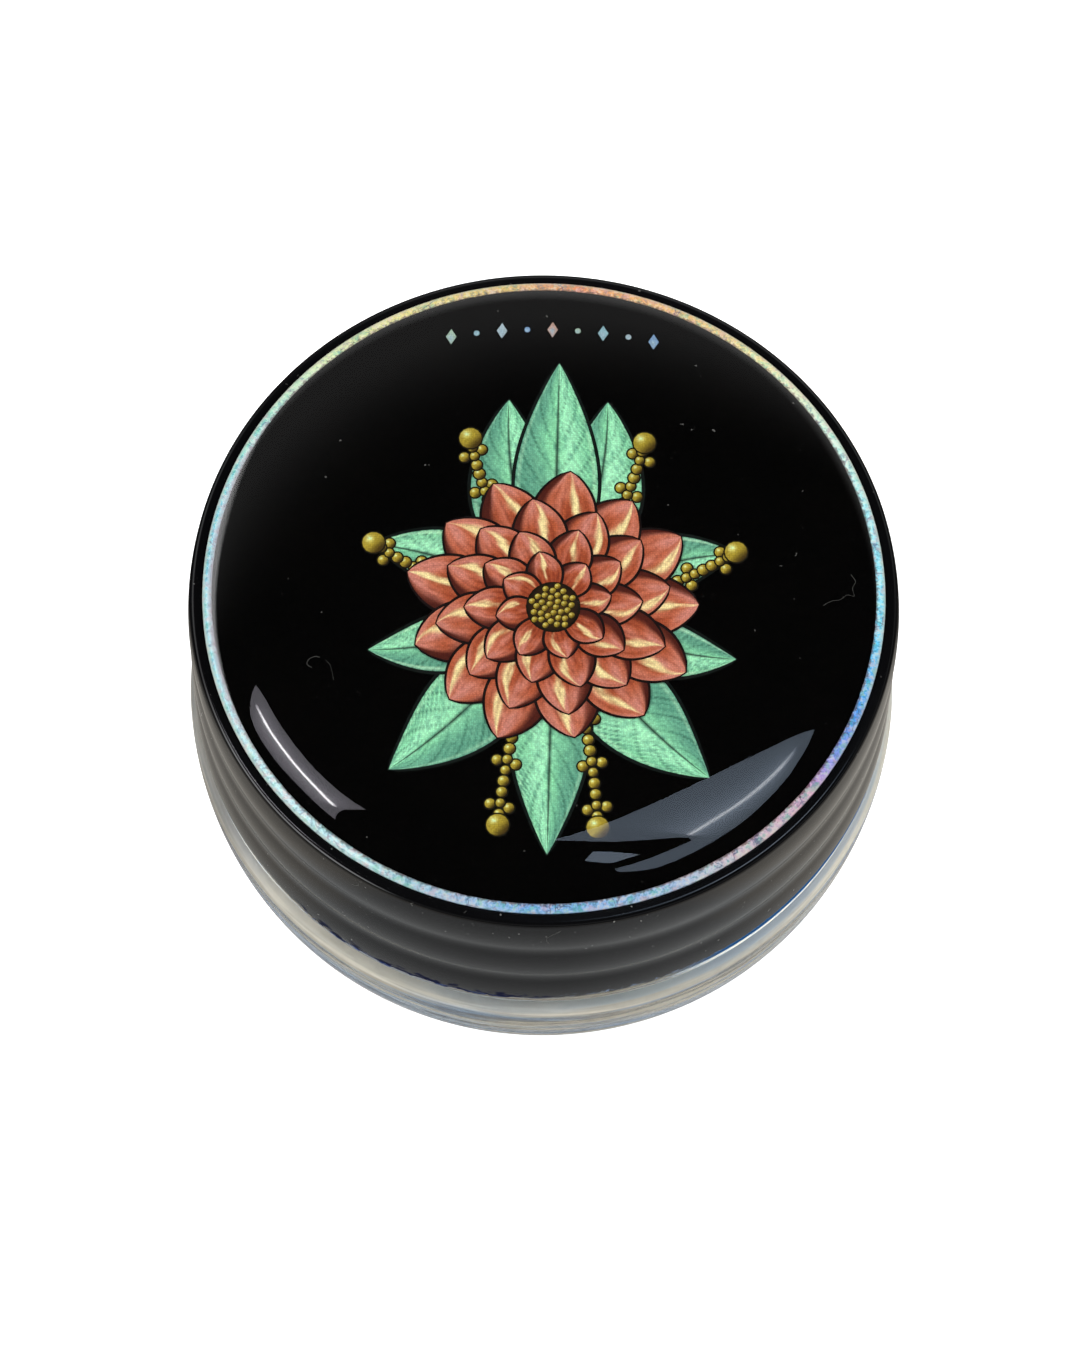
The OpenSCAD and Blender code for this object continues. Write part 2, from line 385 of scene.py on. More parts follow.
    # Painted blue lines of refracted light and fringe.
    navy = t.n("ShaderNodeBsdfDiffuse", Color=srgb(0.10, 0.35, 0.57), Normal=nor)
    body = t.shader_mix(t.math("MULTIPLY", blue, 0.90), body, navy.outputs[0])
    lp = t.nt.nodes.new("ShaderNodeLightPath")
    clear = t.n("ShaderNodeBsdfTransparent", Color=srgb(0.97, 0.98, 0.98))
    return t.finish(t.shader_mix(lp.outputs["Is Shadow Ray"], body, clear.outputs[0]))


def foil_material():
    """Metallised rainbow film: its rainbow sheen is painted on, running round the border by azimuth, with crinkle and
    fine scratches.
    """
    t = Tree("rainbow_foil")
    az, r, z = polar(t)
    crinkle = t.noise(1500.0, 4.0, 0.7)
    drift = t.noise(130.0, 3.0)
    f = t.math("ADD", az, t.span(drift, 0.3, 0.7, -0.012, 0.012))
    f = t.math("ADD", f, t.span(crinkle, 0.3, 0.7, -0.008, 0.008))
    # The rainbow sheen is painted by azimuth: fixed colours round the border.
    stops = [(0.0, (0.62, 0.90, 0.95)), (0.10, (0.80, 0.95, 0.96)), (0.17, (0.80, 0.92, 0.94)),
             (0.22, (0.74, 0.85, 0.95)), (0.25, (0.62, 0.80, 0.97)), (0.29, (0.70, 0.83, 0.97)),
             (0.33, (0.84, 0.87, 0.92)), (0.36, (0.90, 0.84, 0.88)), (0.388, (0.93, 0.74, 0.86)),
             (0.415, (0.70, 0.70, 0.98)), (0.45, (0.36, 0.72, 1.0)), (0.49, (0.50, 0.90, 0.99)),
             (0.55, (0.72, 0.95, 0.97)), (0.60, (0.88, 0.96, 0.88)), (0.645, (0.96, 0.92, 0.68)),
             (0.70, (0.98, 0.80, 0.50)), (0.735, (0.97, 0.68, 0.48)), (0.77, (0.94, 0.82, 0.50)),
             (0.82, (0.95, 0.91, 0.62)), (0.87, (0.90, 0.95, 0.78)), (0.92, (0.62, 0.92, 0.88)),
             (0.96, (0.56, 0.88, 0.93)), (1.0, (0.62, 0.90, 0.95))]
    col = t.ramp(f, [(p, srgb(*[ch ** 1.45 for ch in c])) for p, c in stops])
    speck = t.noise(2900.0, 3.0, 0.7)
    col = t.mix(t.span(speck, 0.50, 0.60, 0.0, 0.55), col, srgb(0.90, 0.91, 0.84))
    col = t.mix(t.span(speck, 0.48, 0.38, 0.0, 0.60), col, srgb(0.20, 0.46, 0.56))
    warm = t.noise(1500.0, 3.0, 0.65)
    col = t.mix(t.span(warm, 0.54, 0.62, 0.0, 0.42), col, srgb(0.84, 0.66, 0.70))
    col = t.mix(t.span(warm, 0.46, 0.37, 0.0, 0.45), col, srgb(0.20, 0.74, 0.62))
    col = t.mix(0.16, col, srgb(0.06, 0.03, 0.0))
    cells = t.nt.nodes.new("ShaderNodeTexVoronoi")
    cells.feature = "DISTANCE_TO_EDGE"
    cells.inputs["Scale"].default_value = 560.0
    bend = t.n("ShaderNodeVectorMath")
    bend.operation = "ADD"
    wob = t.nt.nodes.new("ShaderNodeTexNoise")
    wob.inputs["Scale"].default_value = 1500.0
    t.nt.links.new(t.coord, wob.inputs["Vector"])
    shrink = t.n("ShaderNodeVectorMath")
    shrink.operation = "SCALE"
    t.nt.links.new(wob.outputs["Color"], shrink.inputs[0])
    shrink.inputs["Scale"].default_value = 0.0009
    t.nt.links.new(t.coord, bend.inputs[0])
    t.nt.links.new(shrink.outputs[0], bend.inputs[1])
    t.nt.links.new(bend.outputs[0], cells.inputs["Vector"])
    crack = t.math("MULTIPLY", t.span(cells.outputs["Distance"], 0.035, 0.010, 0.0, 1.0), t.span(t.noise(420.0, 2.0), 0.50, 0.57))
    col = t.mix(t.math("MULTIPLY", crack, 0.70), col, srgb(0.18, 0.22, 0.42))
    pit = t.span(t.noise(4200.0, 1.0, 0.5), 0.75, 0.80)
    col = t.mix(t.math("MULTIPLY", pit, 0.75), col, srgb(0.08, 0.08, 0.12))
    ragged = t.span(t.noise(3300.0, 2.0, 0.6), 0.3, 0.7, -0.00016, 0.00016)
    edge = t.span(t.math("ADD", r, ragged), (INK_R + 0.02) * MM, (INK_R + 0.17) * MM, 1.0, 0.0)
    col = t.mix(t.math("MULTIPLY", edge, 0.75), col, srgb(0.28, 0.15, 0.12))
    rosy = t.math("MULTIPLY", sector(t, az, -215, -150, 14.0), t.span(r, (INK_R + 0.45) * MM, (INK_R + 0.20) * MM, 0.0, 0.6))
    col = t.mix(rosy, col, srgb(0.50, 0.44, 0.50))
    lip = t.math("MULTIPLY", t.span(r, (LABEL_R - 0.40) * MM, (LABEL_R - 0.12) * MM, 0.0, 0.62),
                 t.math("SUBTRACT", 1.0, t.math("MULTIPLY", sector(t, az, -140, -20, 24.0), 0.8)))
    col = t.mix(lip, col, srgb(0.83, 0.81, 0.74))
    nor = t.bump(crinkle, 0.35, 0.00006)
    p = t.n("ShaderNodeBsdfPrincipled", Base_Color=col, Roughness=t.span(crinkle, 0.3, 0.7, 0.28, 0.42), Normal=nor)
    p.inputs["Metallic"].default_value = 0.15
    return t.finish(p.outputs[0])


def ink_material():
    """Black print with the faint grain of its dots."""
    t = Tree("black_ink")
    grain = t.noise(5200.0, 2.0, 0.5)
    broad = t.noise(140.0, 3.0)
    col = t.mix(t.span(grain, 0.45, 0.75), srgb(0.004, 0.004, 0.004), srgb(0.018, 0.017, 0.015))
    col = t.mix(t.math("MULTIPLY", t.span(broad, 0.45, 0.7), 0.4), col, srgb(0.018, 0.015, 0.012))
    nor = t.bump(grain, 0.1, 0.00002)
    p = t.n("ShaderNodeBsdfPrincipled", Base_Color=col, Roughness=t.span(broad, 0.3, 0.7, 0.45, 0.6), Normal=nor)
    p.inputs["Specular IOR Level"].default_value = 0.0
    return t.finish(p.outputs[0])


def art_material():
    """Coloured print: painted vertex colours broken up by halftone grain and a slight foil sheen."""
    t = Tree("colour_print")
    at = t.nt.nodes.new("ShaderNodeAttribute")
    at.attribute_name = "paint"
    dots = t.nt.nodes.new("ShaderNodeTexVoronoi")
    dots.inputs["Scale"].default_value = 5600.0
    dots.inputs["Randomness"].default_value = 0.45
    t.nt.links.new(t.coord, dots.inputs["Vector"])
    grain = t.noise(7000.0, 2.0, 0.6)
    dot = t.span(dots.outputs["Distance"], 0.15, 0.7, 1.10, 0.72)
    k = t.math("MULTIPLY", dot, t.span(grain, 0.3, 0.7, 0.86, 1.12))
    n = t.nt.nodes.new("ShaderNodeVectorMath")
    n.operation = "SCALE"
    t.nt.links.new(at.outputs["Color"], n.inputs[0])
    t.nt.links.new(k, n.inputs["Scale"])
    p = t.n("ShaderNodeBsdfPrincipled", Roughness=t.span(grain, 0.3, 0.7, 0.38, 0.55))
    t.nt.links.new(n.outputs[0], p.inputs["Base Color"])
    p.inputs["Specular IOR Level"].default_value = 0.1
    return t.finish(p.outputs[0])


def dome_material():
    """Clear cast resin: a clean surface with a few specks."""
    t = Tree("clear_resin")
    broad = t.noise(45.0, 2.0, 0.4)
    specks = t.span(t.noise(2300.0, 1.0, 0.4), 0.80, 0.83)
    nor = t.bump(broad, 0.02, 0.0002)
    rough = t.span(broad, 0.3, 0.7, 0.0, 0.012)
    p = t.n("ShaderNodeBsdfPrincipled", Base_Color=t.mix(broad, srgb(0.985, 0.985, 0.99), srgb(0.995, 0.995, 0.99)),
            Roughness=rough, Normal=nor)
    p.inputs["Transmission Weight"].default_value = 1.0
    p.inputs["IOR"].default_value = 1.5
    dust = t.n("ShaderNodeBsdfDiffuse", Color=srgb(0.7, 0.7, 0.68))
    body = t.shader_mix(t.math("MULTIPLY", specks, 0.22), p.outputs[0], dust.outputs[0])
    lp = t.nt.nodes.new("ShaderNodeLightPath")
    clear = t.n("ShaderNodeBsdfTransparent", Color=srgb(0.985, 0.985, 0.985))
    return t.finish(t.shader_mix(lp.outputs["Is Shadow Ray"], body, clear.outputs[0]))


def ring_material():
    """Milky low-friction plastic."""
    t = Tree("slip_plastic")
    broad = t.noise(300.0, 3.0)
    col = t.mix(t.span(broad, 0.3, 0.7), srgb(0.72, 0.75, 0.79), srgb(0.84, 0.86, 0.88))
    nor = t.bump(t.noise(1500.0, 3.0), 0.2, 0.00004)
    p = t.n("ShaderNodeBsdfPrincipled", Base_Color=col, Roughness=t.span(broad, 0.3, 0.7, 0.3, 0.5), Normal=nor)
    return t.finish(p.outputs[0])


def glue_material():
    t = Tree("mounting_adhesive")
    broad = t.noise(250.0, 4.0)
    col = t.mix(t.span(broad, 0.3, 0.7), srgb(0.86, 0.84, 0.78), srgb(0.93, 0.91, 0.86))
    nor = t.bump(broad, 0.2, 0.00005)
    p = t.n("ShaderNodeBsdfPrincipled", Base_Color=col, Roughness=t.span(broad, 0.3, 0.7, 0.45, 0.65), Normal=nor)
    return t.finish(p.outputs[0])


M_COAT = coat_material()
M_BASE = glass_material("clear_glass_lower", srgb(0.94, 0.955, 0.955))
M_LID = glass_material("clear_glass_upper", srgb(0.94, 0.955, 0.955))
M_FOIL = foil_material()
M_INK = ink_material()
M_ART = art_material()
M_DOME = dome_material()
M_RING = ring_material()
M_GLUE = glue_material()


# ---------------------------------------------------------------- the two glass halves
def tooth_mesh(r, ang, z, up, w=2.9, t=0.45, h=9.6, sink=0.25):
    """A square frustum on a ring, sunk a little into its half so that the join is clean."""
    s = 1 if up else -1
    ws = w + (w - t) * sink / h * 0.0
    ca, sa = math.cos(ang), math.sin(ang)
    pts = []
    for hw, hz in ((ws, -sink), (ws, 0.0), (t, h)):
        for dx, dy in ((-hw, -hw), (hw, -hw), (hw, hw), (-hw, hw)):
            x, y = r + dx, dy
            pts.append((x * ca - y * sa, x * sa + y * ca, z + s * hz))
    f = [(3, 2, 1, 0), (8, 9, 10, 11)]
    for k in (0, 4):
        for i in range(4):
            j = (i + 1) % 4
            f.append((k + i, k + j, k + 4 + j, k + 4 + i))
    return pts, (f if up else flip(f))


def teeth(rings, z, up):
    verts, faces = [], []
    for r, n in rings:
        for i in range(n):
            v, f = tooth_mesh(r, 2 * math.pi * i / n, z, up)
            k = len(verts)
            verts += v
            faces += [tuple(a + k for a in q) for q in f]
    return verts, faces


foot_r, base_r, foot_in, er, sr = BODY_R - 0.5, BODY_R + 0.4, 24.0, 0.5, 0.7
low = ([(0, 0.7), (foot_in, 0.7), (foot_in + 0.7, 0.0)]
       + arc(foot_r - er, er, er, -90, -10, 10)
       + [(foot_r + (base_r - foot_r) * math.sin(math.radians(90 * (i / 21) ** 0.85)),
           er + (BASE_H - sr - er) * i / 21) for i in range(1, 22)]
       + arc(base_r - sr, BASE_H - sr, sr, 5, 90, 10) + [(COLLAR_OUT, BASE_H)]
       + arc(COLLAR_OUT - 0.7, BASE_H + COLLAR_RISE - 0.7, 0.7, 0, 90, 6)
       + arc(COLLAR_IN + 0.7, BASE_H + COLLAR_RISE - 0.7, 0.7, 90, 180, 6)
       + arc(COLLAR_IN - 1.2, FLOOR + 1.2, 1.2, 0, -90, 8) + [(0, FLOOR)])
v, f = lathe(low, 360)
base = fused("glass_base", v, f, teeth([(8.6, 6), (16.5, 12)], FLOOR, True), [M_BASE])
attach(base, "base")
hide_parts("lower_half", "lower_inner_teeth", "lower_outer_teeth")


BAND_Z = LID_Z + 0.15                    # where the lowest band would start
BZ0, BZ1 = LID_Z + RIM_ER, TOP - TOP_EDGE
COAT_Z = LID_Z + RIM_CLEAR               # lower edge of the black coat
SOFT_K = 1 - 2 * SOFT / BAND_P
DEEP = BAND / SOFT_K                     # depth that a sharp hollow would have


def bulge(z):
    """Radius of the banded side: round crests, and hollows rounded over SOFT mm each way."""
    v = (z - BAND_Z) / BAND_P
    d = abs(v - round(v)) * BAND_P
    if d >= SOFT:
        return BODY_R - DEEP * (1 - 2 * d / BAND_P) ** 2
    return BODY_R - DEEP * SOFT_K * SOFT_K - 2 * DEEP * SOFT_K / BAND_P * (SOFT * SOFT - d * d) / SOFT


TOP_R = bulge(BZ1) - TOP_EDGE
RIM_R = bulge(BZ0) - RIM_ER


def side(t, za, zb, steps=26):
    out = [(bulge(za) - t, za)]
    for i in range(1, 4 * steps):
        z = BAND_Z + BAND_P * i / steps
        if za + 0.06 < z < zb - 0.08:
            out.append((bulge(z) - t, z))
    out.append((bulge(zb) - t, zb))
    return out


IN = COAT + 0.01
up = ([(0, CROWN)] + arc(SKIRT_IN - 1.2, CROWN - 1.2, 1.2, 90, 0, 8)
      + [(SKIRT_IN, LID_Z + 0.3), (SKIRT_IN + 0.3, LID_Z)]
      + arc(RIM_R, LID_Z + RIM_ER, RIM_ER, -90, -4, 16)
      + side(0.0, BZ0, COAT_Z + 0.05) + side(IN, COAT_Z + 0.12, BZ1)
      + arc(TOP_R, TOP - TOP_EDGE, TOP_EDGE - IN, 15, 90, 8) + [(0, TOP - IN)])
v, f = lathe(up, 360)
lid = fused("glass_lid", v, f, teeth([(12.2, 9), (20.3, 15)], CROWN, False), [M_LID])
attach(lid, "lid")
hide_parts("upper_half", "upper_inner_teeth", "upper_outer_teeth")

# The coat's lower edge is ragged: flakes are missing here and there, and short runs of it hang lower.
EDGE = [COAT_Z + 0.10 * i for i in range(7)]
outer = ([(bulge(z), z) for z in EDGE] + side(0.0, COAT_Z + 1.40, BZ1)
         + arc(TOP_R, TOP - TOP_EDGE, TOP_EDGE, 15, 90, 12) + [(0, TOP)])
inner = ([(bulge(z) - COAT, z) for z in EDGE] + side(COAT, COAT_Z + 1.40, BZ1)
         + arc(TOP_R, TOP - TOP_EDGE, TOP_EDGE - COAT, 15, 90, 12) + [(0, TOP - COAT)])
RUNS = [(-130.7, 0.4, 0.45), (-129.0, 0.3, 0.5), (-127.6, 0.5, 0.55), (-124.1, 1.4, 0.8), (-120.4, 0.5, 0.55),
        (-115.1, 0.9, 0.65), (-110.5, 0.4, 0.3), (-105.2, 1.0, 0.45), (-99.5, 1.5, 0.45), (-95.4, 1.6, 0.45), (-89.5, 1.2, 0.35),
        (-76.2, 1.8, 0.30), (-70.2, 1.4, 0.34), (-20.0, 0.75, 1.1), (64.0, 1.2, 0.4), (118.0, 0.9, 0.45), (171.0, 1.3, 0.3)]


# The masked line wanders: a little low at the front left, higher round the right.
LINE = [(-180, 0.0), (-135, 0.0), (-118, -0.45), (-100, -0.35), (-88, 0.0), (-75, 0.40), (-60, 0.75), (-40, 0.90),
        (-12, 0.90), (30, 0.30), (80, 0.0), (180, 0.0)]


def line_at(deg):
    for (a0, h0), (a1, h1) in zip(LINE, LINE[1:]):
        if a0 <= deg <= a1:
            u = (deg - a0) / (a1 - a0)
            return h0 + (h1 - h0) * u * u * (3 - 2 * u)
    return 0.0


def ragged(k, a, r, z):
    n = len(outer)
    j = k if k < n else 2 * n - 1 - k
    if j > 6:
        return r, z
    p = Vector((math.cos(a) * 9, math.sin(a) * 9, 3.1))
    fine = noise.noise(p * 5.0) * 0.6 + noise.noise(p * 13.0) * 0.5
    edge = COAT_Z + 0.05 * noise.noise(p * 0.8) + 0.05 * fine
    deg = math.degrees(math.atan2(math.sin(a), math.cos(a)))
    for az, w, h in RUNS:
        d = abs((deg - az + 180) % 360 - 180) / w
        if d < 1.3:
            edge -= h * max(0.0, min(1.0, (1.25 - d) * 3 + fine * 1.6)) * (0.75 + 0.5 * noise.noise(p * 9.0))
    if -86 < deg < -56 or 20 < deg < 50:
        edge += max(0.0, fine - 0.14) * 0.9
    else:
        edge += max(0.0, fine - 0.42) * 0.8
    edge += line_at(deg)
    z = edge + (COAT_Z + 1.30 - edge) * j / 7
    return bulge(z) + (0.004 if k < n else -COAT), z


prof = outer + list(reversed(inner))
v, f = lathe(prof, 1440, ragged)
n_out = len(outer)
coat = obj_from("black_coat_skin", v, f + [], [M_COAT])
bm = bmesh.new()
bm.from_mesh(coat.data)
bmesh.ops.remove_doubles(bm, verts=bm.verts, dist=1e-8)
edges = [e for e in bm.edges if e.is_boundary]
if edges:
    bmesh.ops.bridge_loops(bm, edges=edges)
bmesh.ops.recalc_face_normals(bm, faces=bm.faces)
bm.to_mesh(coat.data)
bm.free()
coat.data.shade_smooth()
coat.data.set_sharp_from_angle(angle=math.radians(40))
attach(coat, "lid")
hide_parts("black_coat")

# Slip ring
r0, r1, z0, z1 = COLLAR_OUT + 0.35, COLLAR_OUT + 2.55, BASE_H + 0.02, BASE_H + 0.52
c = 0.06
v, f = lathe([(r0 + c, z0), (r1 - c, z0), (r1, z0 + c), (r1, z1 - c), (r1 - c, z1), (r0 + c, z1),
              (r0, z1 - c), (r0, z0 + c), (r0 + c, z0)], 360)
ring = obj_from("slip_washer", v, f, [M_RING])
bm = bmesh.new()
bm.from_mesh(ring.data)
bmesh.ops.remove_doubles(bm, verts=bm.verts, dist=1e-8)
bmesh.ops.recalc_face_normals(bm, faces=bm.faces)
bm.to_mesh(ring.data)
bm.free()
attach(ring, "ring")
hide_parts("slip_ring")


# ---------------------------------------------------------------- label
def disc(name, r, z0, z1, mat, jitter=0.0, seg=1440, rings=(1.0,)):
    def wob(k, a, rr, z):
        if jitter and rr > 0.9 * r:
            q = Vector((math.cos(a) * 40, math.sin(a) * 40, 0.7))
            rr += (noise.noise(q * 3.1) * 0.6 + noise.noise(q * 9.0) * 0.4) * jitter
        return rr, z
    v, f = lathe([(0, z0), (r, z0), (r, z1), (0, z1)], seg, wob if jitter else None)
    return obj_from(name, v, f, [mat])


glue = disc("label_mount", LABEL_R - 0.1, TOP + 0.005, TOP + 0.10, M_GLUE, seg=360)
foil = disc("foil_disc", LABEL_R, FOIL_Z + 0.002, FOIL_Z + 0.12, M_FOIL, seg=720)
ink = disc("ink_layer", INK_R - 0.03, INK_Z + 0.004, INK_Z + 0.04, M_INK, jitter=0.05)
for o, slot_name, node in ((glue, "adhesive", "label_adhesive"), (foil, "rainbow_foil", "label_foil"),
                           (ink, "printed_ink", "label_ink")):
    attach(o, "lid")
    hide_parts(node)


def dome_at(r):
    return DOME_H * math.sqrt(max(0.0, 1 - (r / LABEL_R) ** 5))


rs = [0, 3, 6, 9, 12, 14, 16, 18, 19, 20, 21, 22, 22.8, 23.6, 24.3, 25.0, 25.6, 26.1, 26.6, 27.0, 27.35, 27.65,
      27.9, 28.1, 28.27, 28.4, 28.5, 28.58, 28.64, 28.68, 28.695]
prof = [(r, INK_Z + dome_at(r) - 0.003) for r in rs] + [(28.697, INK_Z + 0.01)]
v, f = lathe(list(reversed(prof)), 720)
dome = obj_from("resin_dome", v, f, [M_DOME], smooth=80)
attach(dome, "lid")
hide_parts("label_dome")


# ---------------------------------------------------------------- the printed ornament: a flower, leaves and berries
class Print:
    """Patches of painted vertices stacked a hair's breadth apart on the ink."""

    def __init__(self):
        self.v, self.f, self.c = [], [], []
        self.z = INK_Z + 0.044

    def lift(self, dz=0.0006):
        self.z += dz

    def patch(self, at, nu, nv, paint):
        """at(u, v) gives x, y for u in 0..1 and v in -1..1. paint(u, v) gives an sRGB colour."""
        k = len(self.v)
        for i in range(nu + 1):
            for j in range(nv + 1):
                u, w = i / nu, 2 * j / nv - 1
                x, y = at(u, w)
                self.v.append((x, y, self.z))
                self.c.append(srgb(*[min(1, max(0, q)) for q in paint(u, w)]))
        for i in range(nu):
            for j in range(nv):
                a = k + i * (nv + 1) + j
                self.f.append((a, a + nv + 1, a + nv + 2, a + 1))

    def blade(self, x, y, ang, length, width, paint, bend=0.0, p=0.75, q=0.8, nu=44, nv=18, line=0.32, ink=(0.03, 0.02, 0.02)):
        """A petal or a leaf that starts at x, y and runs along ang degrees, first outlined in dark, then painted."""
        a0 = math.radians(ang)

        def spine(u):
            a = a0 + bend * u
            m = a0 + bend * u * 0.5
            return x + length * u * math.cos(m), y + length * u * math.sin(m), a

        def half(u):
            return width * 0.5 * max(0.0, math.sin(math.pi * u ** p)) ** q

        def shape(extra):
            def at(u, w):
                uu = u * (1 + extra / length) - 0.5 * extra / length if extra else u
                cx, cy, a = spine(min(1.04, max(-0.02, uu)))
                h = half(min(1.0, max(0.0, u))) + extra * (math.sin(math.pi * min(1, max(0, u))) ** 0.35 if extra else 0)
                return cx - math.sin(a) * h * w, cy + math.cos(a) * h * w
            return at
        self.patch(shape(line), 24, 4, lambda u, w: ink)
        self.lift()
        self.patch(shape(0.0), nu, nv, paint)
        self.lift()

    def dot(self, x, y, r, paint, n=18, rings=5, sx=1.0, rot=0.0, line=0.14, ink=(0.05, 0.04, 0.0)):
        def at_r(rr):
            def at(u, w):
                a = math.pi * w
                dx, dy = rr * u * math.cos(a) * sx, rr * u * math.sin(a)
                c, s = math.cos(rot), math.sin(rot)
                return x + dx * c - dy * s, y + dx * s + dy * c
            return at
        if line:
            self.patch(at_r(r + line), 1, n, lambda u, w: ink)
            self.lift()
        self.patch(at_r(r), rings, n, paint)
        self.lift()


def lerp(a, b, t):
    t = min(1.0, max(0.0, t))
    return tuple(p + (q - p) * t for p, q in zip(a, b))


def petal_paint(seed, deep=0.0):
    r = random.Random(seed)
    s1, s2, s3 = r.uniform(-0.5, -0.15), r.uniform(0.35, 0.7), r.uniform(0, 9)

    def paint(u, w):
        n1 = noise.noise(Vector((u * 5 + s3, w * 2.5, 0.3)))
        n2 = noise.noise(Vector((u * 16 + s3, w * 9, 4.3)))
        c = (0.60, 0.27, 0.15)
        c = lerp(c, (0.74, 0.40, 0.27), (u - 0.35) * 2.0 + n1 * 0.7)
        c = lerp(c, (0.78, 0.50, 0.44), (u - 0.55) * 2.2 + n1 * 0.9)
        hi = 1 - abs(w - s1 - 0.18 * math.sin(u * 5 + s3)) * 4.2 - abs(u - 0.72) * 2.0 + n1 * 0.5
        c = lerp(c, (0.93, 0.86, 0.62), hi * 2.2)
        vein = math.sin(w * 21 + n1 * 3.0) * 0.5 + 0.5
        c = lerp(c, (0.38, 0.13, 0.07), (vein - 0.55) * 1.3 * (1 - u) * 1.6 + n2 * 0.25)
        sh = (w - s2) * 3.2 + n1 * 0.6
        c = lerp(c, (0.27, 0.09, 0.05), sh)
        c = lerp(c, (0.14, 0.04, 0.03), (0.26 + deep - u) * 4.5 + n2 * 0.5)
        return c
    return paint


def leaf_paint(seed):
    r = random.Random(seed)
    s3 = r.uniform(0, 9)

    def paint(u, w):
        n1 = noise.noise(Vector((u * 6 + s3, w * 2, 1.3)))
        n2 = noise.noise(Vector((u * 26 + s3, w * 13, 7.3)))
        c = (0.55, 0.86, 0.66)
        c = lerp(c, (0.66, 0.95, 0.76), (0.5 - abs(w + 0.35)) * 2.4 + n1 * 0.8)
        c = lerp(c, (0.42, 0.68, 0.56), (w - 0.05) * 1.8 + n1 * 0.5)
        rib = abs(((u * 7.5 - abs(w) * 1.9) % 1.0) - 0.5)
        c = lerp(c, (0.17, 0.36, 0.29), (0.09 - rib) * 9 * (0.35 + abs(w)))
        hatch = math.sin((u * 150 + abs(w) * 46)) * 0.5 + 0.5
        c = lerp(c, (0.20, 0.42, 0.36), (hatch - 0.45) * 1.5 * min(1, max(0, (abs(w) - 0.25) * 1.6)) * (0.55 + n1))
        c = lerp(c, (0.05, 0.12, 0.10), (0.075 - abs(w)) * 16)
        c = lerp(c, (0.80, 0.97, 0.80), (0.055 - abs(abs(w) - 0.90)) * 12)
        c = lerp(c, (0.11, 0.24, 0.20), (0.20 - u) * 4 + n2 * 0.2)
        return lerp(c, (0.30, 0.55, 0.46), n2 * 0.9)
    return paint


def gold_paint(seed, dark=0.0):
    r = random.Random(seed)
    s = r.uniform(-0.3, 0.3)

    def paint(u, w):
        a = math.pi * w
        x, y = u * math.cos(a), u * math.sin(a)
        c = (0.62, 0.54, 0.16)
        c = lerp(c, (0.88, 0.84, 0.45), 1.2 - 2.2 * math.hypot(x + 0.35, y - 0.4 - s * 0.3))
        c = lerp(c, (0.80, 0.96, 0.80), 1.0 - 3.6 * math.hypot(x + 0.35, y - 0.42))
        return lerp(c, (0.22, 0.16, 0.02), (x - y) * 1.0 - 0.15 + dark)
    return paint


P = Print()
FX, FY = 0.8, -1.6      # the flower's centre

# long leaves, above and below
for i, (ang, ln, wd, bend, off) in enumerate([
        (68, 19.5, 7.4, 0.42, 4.0), (112, 19.5, 7.4, -0.42, 4.0), (90, 22.5, 7.0, 0.0, 3.0),
        (236, 20.0, 7.4, -0.34, 4.0), (304, 20.0, 7.4, 0.34, 4.0), (270, 22.0, 6.6, 0.0, 3.0)]):
    a = math.radians(ang)
    P.blade(FX + off * math.cos(a), FY + off * math.sin(a), ang, ln - off, wd, leaf_paint(40 + i), bend, p=0.80, q=0.9,
            nu=90, nv=26, ink=(0.02, 0.05, 0.04))
# short leaves to the sides
for i, (ang, ln, wd, bend) in enumerate([(28, 16.2, 5.4, -0.4), (152, 16.2, 5.4, 0.4), (-24, 16.0, 5.2, 0.4), (204, 16.0, 5.2, -0.4)]):
    a = math.radians(ang)
    P.blade(FX + 4 * math.cos(a), FY + 4 * math.sin(a), ang, ln - 4, wd, leaf_paint(60 + i), bend, p=0.80, q=0.9,
            nu=70, nv=20, ink=(0.02, 0.05, 0.04))

# berry sprigs between the leaves, as gold beads on a curve
for i, (ang, ln, bend) in enumerate([(50, 17.0, 0.5), (130, 17.0, -0.5), (250, 20.0, 0.28), (290, 20.0, -0.28),
                                     (4, 16.2, 0.55), (176, 16.2, -0.55)]):
    a0 = math.radians(ang)
    for k in range(13):
        u = 0.42 + 0.58 * k / 12
        m = a0 + bend * u * 0.5
        x, y = FX + ln * u * math.cos(m), FY + ln * u * math.sin(m)
        s = 0.42 + 0.05 * math.sin(k * 1.7)
        if k == 12:
            s = 0.95
        elif k % 4 == 2:
            for sg in (-1, 1):
                aa = m + sg * 1.25
                P.dot(x + 0.85 * math.cos(aa), y + 0.85 * math.sin(aa), 0.44, gold_paint(i * 31 + k + sg), rings=4, n=14)
        P.dot(x, y, s, gold_paint(i * 17 + k), rings=4, n=14)

# the flower, from the outer petals in
for layer, (n, ln, wd, st, deep, turn) in enumerate([
        (13, 12.2, 5.2, 3.0, 0.16, 0.1), (12, 9.6, 4.4, 2.0, 0.14, 0.35), (10, 7.2, 3.6, 1.2, 0.10, 0.1), (8, 4.9, 2.8, 0.7, 0.05, 0.3)]):
    order = list(range(n))
    for i in order:
        ang = 360.0 * (i + turn) / n
        a = math.radians(ang)
        k = 1 + 0.05 * math.sin(i * 2.3 + layer)
        P.blade(FX + st * math.cos(a), FY + st * math.sin(a), ang, (ln - st) * k, wd, petal_paint(100 * layer + i, deep),
                bend=0.10 * math.sin(i * 1.9 + layer), p=1.25, q=0.72, nu=40, nv=20, line=0.26, ink=(0.045, 0.015, 0.01))
